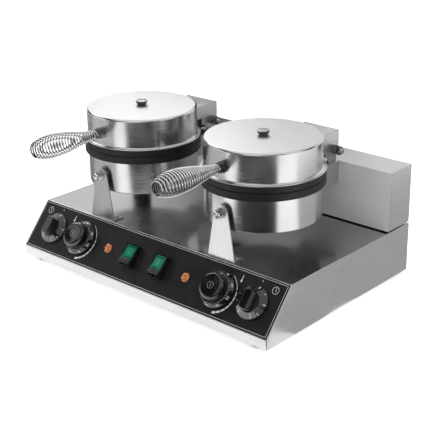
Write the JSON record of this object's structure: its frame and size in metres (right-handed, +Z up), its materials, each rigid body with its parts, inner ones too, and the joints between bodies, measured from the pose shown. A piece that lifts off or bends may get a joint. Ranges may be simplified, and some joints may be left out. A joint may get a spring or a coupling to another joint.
{
  "type": "double round waffle maker",
  "caption": "Countertop double waffle maker: sloped control panel, round heads with rear-hinged lids over studded cast plates, and coiled spring handles.",
  "frame": {"origin": "on the table under the middle of the whole part's box", "axes": "+X to the right seen from the front, +Y to the back, +Z up"},
  "size_m": [0.55, 0.4521, 0.2772],
  "materials": {
    "body_steel": "satin stainless sheet, brushed along the width",
    "lid_steel": "polished stainless sheet",
    "fastener_steel": "bright machined steel",
    "cast_iron": "black seasoned cast iron",
    "chrome_wire": "bright plated spring wire",
    "panel_paint": "black satin enamel",
    "black_plastic": "matt black moulding",
    "knob_plastic": "satin black moulding",
    "green_rocker": "glossy translucent green",
    "amber_lens": "glossy translucent amber",
    "foot_rubber": "matt black rubber",
    "mineral_wool": "pale felted mineral wool",
    "heater_steel": "dull sheathed element",
    "white_plastic": "matt white moulding"
  },
  "bodies": {
    "base": {"base_shell": "body_steel", "bottom_plate": "body_steel", "rubber_feet": "foot_rubber", "foot_screws": "fastener_steel", "control_panel": "panel_paint", "rear_cover": "body_steel", "cover_spacers": "black_plastic", "cover_screws": "fastener_steel", "front_brackets": "body_steel", "bracket_screws": "fastener_steel", "bracket_bolts": "fastener_steel", "bracket_spacers": "fastener_steel", "bracket_washers": "fastener_steel", "acorn_nuts": "fastener_steel", "lower_housing_left": "body_steel", "lower_housing_right": "body_steel", "lower_plate_left": "cast_iron", "lower_plate_right": "cast_iron", "lower_heater_left": "heater_steel", "lower_heater_right": "heater_steel", "lower_insulation": "mineral_wool", "hinge_arm_left": "body_steel", "hinge_arm_right": "body_steel", "hinge_ears": "body_steel", "hinge_bolts": "fastener_steel", "hinge_nuts": "fastener_steel", "timer_bodies": "black_plastic", "thermostat_bodies": "black_plastic", "switch_bodies": "black_plastic", "lamp_lenses": "amber_lens", "lamp_bodies": "black_plastic", "terminal_block": "white_plastic", "cord_gland": "black_plastic"},
    "lid_left": {"lid_shell_left": "lid_steel", "upper_plate_left": "cast_iron", "upper_heater_left": "heater_steel", "upper_insulation_left": "mineral_wool", "hinge_box_left": "body_steel", "lid_screw_left": "fastener_steel", "handle_stud_left": "fastener_steel", "handle_nuts_left": "fastener_steel", "handle_coil_left": "chrome_wire"},
    "timer_left": {"timer_knob_left": "knob_plastic"},
    "thermostat_left": {"thermostat_knob_left": "knob_plastic"},
    "switch_left": {"switch_rocker_left": "green_rocker"},
    "lid_right": {"lid_shell_right": "lid_steel", "upper_plate_right": "cast_iron", "upper_heater_right": "heater_steel", "upper_insulation_right": "mineral_wool", "hinge_box_right": "body_steel", "lid_screw_right": "fastener_steel", "handle_stud_right": "fastener_steel", "handle_nuts_right": "fastener_steel", "handle_coil_right": "chrome_wire"},
    "timer_right": {"timer_knob_right": "knob_plastic"},
    "thermostat_right": {"thermostat_knob_right": "knob_plastic"},
    "switch_right": {"switch_rocker_right": "green_rocker"}
  },
  "joints": [
    {"name": "lid_left_hinge", "type": "hinge", "parent": "base", "child": "lid_left", "pos_m": [-0.1341, 0.15252, 0.2167], "axis": [-1, 0, 0], "range_deg": [0, 100]},
    {"name": "timer_left_turn", "type": "hinge", "parent": "base", "child": "timer_left", "pos_m": [-0.225, -0.12629, 0.06189], "axis": [0, 0.7624, -0.6471], "range_deg": [0, 300]},
    {"name": "thermostat_left_turn", "type": "hinge", "parent": "base", "child": "thermostat_left", "pos_m": [-0.1565, -0.12629, 0.06189], "axis": [0, 0.7624, -0.6471], "range_deg": [0, 270]},
    {"name": "switch_left_rock", "type": "hinge", "parent": "base", "child": "switch_left", "pos_m": [-0.033, -0.12793, 0.06459], "axis": [1, 0, 0], "range_deg": [0, 20]},
    {"name": "lid_right_hinge", "type": "hinge", "parent": "base", "child": "lid_right", "pos_m": [0.1341, 0.15252, 0.2167], "axis": [-1, 0, 0], "range_deg": [0, 100]},
    {"name": "timer_right_turn", "type": "hinge", "parent": "base", "child": "timer_right", "pos_m": [0.225, -0.12629, 0.06189], "axis": [0, 0.7624, -0.6471], "range_deg": [0, 300]},
    {"name": "thermostat_right_turn", "type": "hinge", "parent": "base", "child": "thermostat_right", "pos_m": [0.1565, -0.12629, 0.06189], "axis": [0, 0.7624, -0.6471], "range_deg": [0, 270]},
    {"name": "switch_right_rock", "type": "hinge", "parent": "base", "child": "switch_right", "pos_m": [0.033, -0.12793, 0.06459], "axis": [1, 0, 0], "range_deg": [0, 20]}
  ]
}
